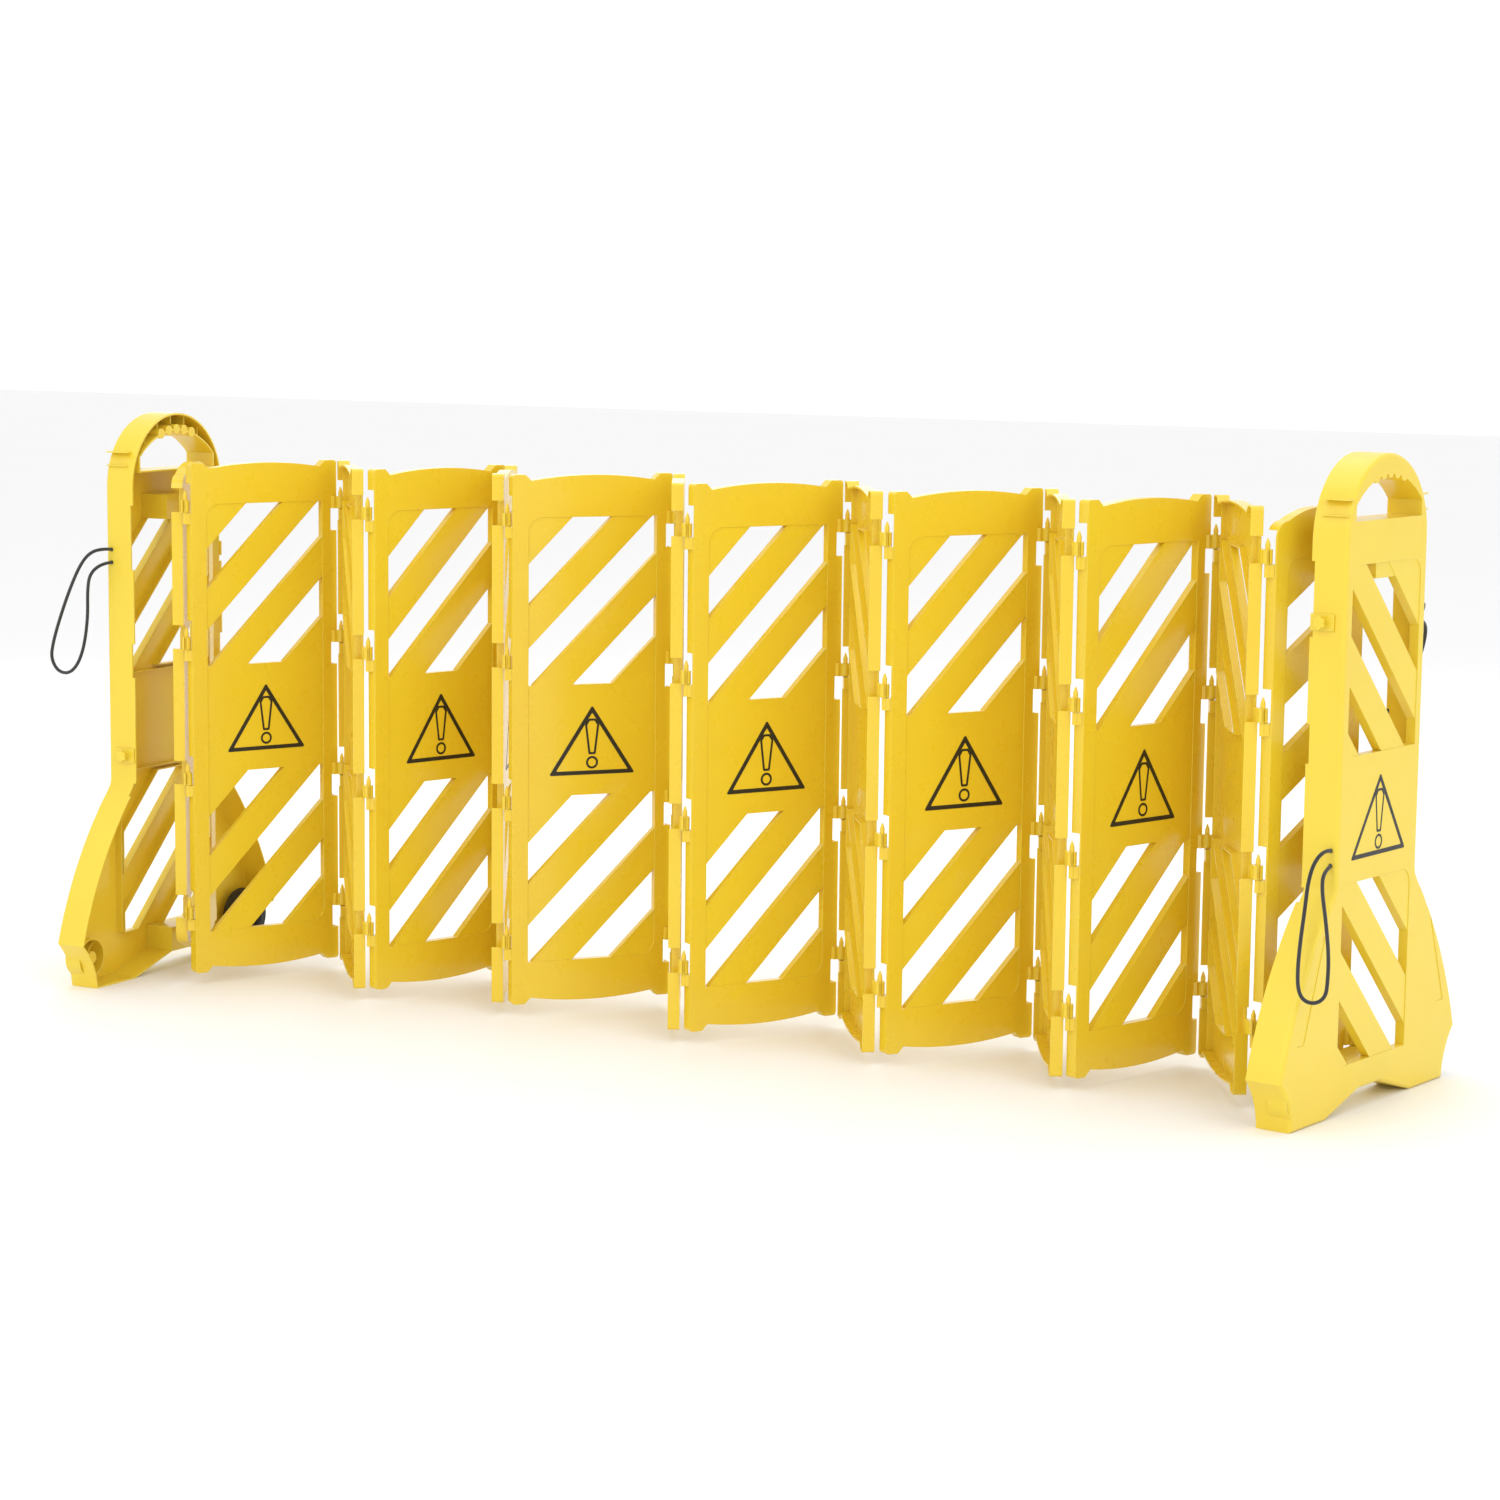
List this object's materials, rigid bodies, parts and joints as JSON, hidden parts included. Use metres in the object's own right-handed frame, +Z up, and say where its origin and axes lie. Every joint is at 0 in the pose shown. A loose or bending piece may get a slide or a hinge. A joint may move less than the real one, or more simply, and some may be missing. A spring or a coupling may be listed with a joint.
{
  "type": "crowd control barrier",
  "caption": "Folding yellow plastic crowd control barrier: slotted panels snap-hinged in a zigzag between wheeled end stands with carry handles and elastic latch loops",
  "frame": {"origin": "middle of the footprint, on the floor", "axes": "X runs along the row of panels towards the right stand, Y points to the rear, Z is up"},
  "size_m": [2.4701, 0.6294, 1.016],
  "materials": {
    "safety_yellow_plastic": "glossy moulded polyethylene, warm yellow",
    "panel_yellow_plastic": "glossy moulded polypropylene, warm yellow, slightly translucent",
    "black_tyre": "soft satin black tread",
    "black_hub_plastic": "satin black moulded hub",
    "steel_axle": "zinc-plated steel",
    "black_cord": "braided elastic cord, black"
  },
  "bodies": {
    "stand_left": {"stand_left": "safety_yellow_plastic", "axle_left": "steel_axle", "push_nut_left": "steel_axle", "latch_hook_left_upper": "safety_yellow_plastic", "latch_hook_left_lower": "safety_yellow_plastic", "loop_stop_left_upper": "black_cord", "elastic_loop_left_upper": "black_cord"},
    "link_left": {"link_panel_left": "panel_yellow_plastic"},
    "panel_01": {"panel_01": "panel_yellow_plastic"},
    "panel_02": {"panel_02": "panel_yellow_plastic"},
    "panel_03": {"panel_03": "panel_yellow_plastic"},
    "panel_04": {"panel_04": "panel_yellow_plastic"},
    "panel_05": {"panel_05": "panel_yellow_plastic"},
    "panel_06": {"panel_06": "panel_yellow_plastic"},
    "panel_07": {"panel_07": "panel_yellow_plastic"},
    "panel_08": {"panel_08": "panel_yellow_plastic"},
    "panel_09": {"panel_09": "panel_yellow_plastic"},
    "panel_10": {"panel_10": "panel_yellow_plastic"},
    "panel_11": {"panel_11": "panel_yellow_plastic"},
    "panel_12": {"panel_12": "panel_yellow_plastic"},
    "link_right": {"link_panel_right": "panel_yellow_plastic"},
    "stand_right": {"stand_right": "safety_yellow_plastic", "axle_right": "steel_axle", "push_nut_right": "steel_axle", "latch_hook_right_upper": "safety_yellow_plastic", "latch_hook_right_lower": "safety_yellow_plastic", "loop_stop_right_lower": "black_cord", "loop_stop_right_upper": "black_cord", "elastic_loop_right_lower": "black_cord", "elastic_loop_right_upper": "black_cord"},
    "wheel_left": {"tyre_left": "black_tyre", "hub_left": "black_hub_plastic"},
    "wheel_right": {"tyre_right": "black_tyre", "hub_right": "black_hub_plastic"}
  },
  "joints": [
    {"name": "stand_left_pivot", "type": "hinge", "parent": "stand_left", "child": "link_left", "pos_m": [-1.11571, 0.03027, 0.45], "axis": [0, 0, 1], "range_deg": [-22.5, 67.5]},
    {"name": "fold_01", "type": "hinge", "parent": "link_left", "child": "panel_01", "pos_m": [-1.00345, -0.1595, 0.45], "axis": [0, 0, -1], "range_deg": [-48.5, 131.5]},
    {"name": "fold_02", "type": "hinge", "parent": "panel_01", "child": "panel_02", "pos_m": [-0.85124, 0.09984, 0.45], "axis": [0, 0, 1], "range_deg": [-66, 114]},
    {"name": "fold_03", "type": "hinge", "parent": "panel_02", "child": "panel_03", "pos_m": [-0.6446, -0.11861, 0.45], "axis": [0, 0, -1], "range_deg": [-58.5, 121.5]},
    {"name": "fold_04", "type": "hinge", "parent": "panel_03", "child": "panel_04", "pos_m": [-0.52755, 0.15837, 0.45], "axis": [0, 0, 1], "range_deg": [-46, 134]},
    {"name": "fold_05", "type": "hinge", "parent": "panel_04", "child": "panel_05", "pos_m": [-0.37308, -0.09963, 0.45], "axis": [0, 0, -1], "range_deg": [-67, 113]},
    {"name": "fold_06", "type": "hinge", "parent": "panel_05", "child": "panel_06", "pos_m": [-0.16454, 0.11701, 0.45], "axis": [0, 0, 1], "range_deg": [-68.5, 111.5]},
    {"name": "fold_07", "type": "hinge", "parent": "panel_06", "child": "panel_07", "pos_m": [-0.00338, -0.13685, 0.45], "axis": [0, 0, -1], "range_deg": [-59, 121]},
    {"name": "fold_08", "type": "hinge", "parent": "panel_07", "child": "panel_08", "pos_m": [0.16654, 0.11123, 0.45], "axis": [0, 0, 1], "range_deg": [-65, 115]},
    {"name": "fold_09", "type": "hinge", "parent": "panel_08", "child": "panel_09", "pos_m": [0.35336, -0.12439, 0.45], "axis": [0, 0, -1], "range_deg": [-65.5, 114.5]},
    {"name": "fold_10", "type": "hinge", "parent": "panel_09", "child": "panel_10", "pos_m": [0.52544, 0.1222, 0.45], "axis": [0, 0, 1], "range_deg": [-59.5, 120.5]},
    {"name": "fold_11", "type": "hinge", "parent": "panel_10", "child": "panel_11", "pos_m": [0.68661, -0.13167, 0.45], "axis": [0, 0, -1], "range_deg": [-48.5, 131.5]},
    {"name": "fold_12", "type": "hinge", "parent": "panel_11", "child": "panel_12", "pos_m": [0.80848, 0.14323, 0.45], "axis": [0, 0, 1], "range_deg": [-51.5, 128.5]},
    {"name": "fold_13", "type": "hinge", "parent": "panel_12", "child": "link_right", "pos_m": [0.98271, -0.10185, 0.45], "axis": [0, 0, -1], "range_deg": [-53, 127]},
    {"name": "stand_right_pivot", "type": "hinge", "parent": "link_right", "child": "stand_right", "pos_m": [1.08168, 0.09347, 0.45], "axis": [0, 0, 1], "range_deg": [-11.5, 78.5]},
    {"name": "wheel_left_spin", "type": "hinge", "parent": "stand_left", "child": "wheel_left", "pos_m": [-1.14424, 0.19852, 0.056], "axis": [1, -0.0087, 0], "continuous": true},
    {"name": "wheel_right_spin", "type": "hinge", "parent": "stand_right", "child": "wheel_right", "pos_m": [1.14039, 0.25371, 0.056], "axis": [-0.9848, 0.1736, 0], "continuous": true}
  ]
}
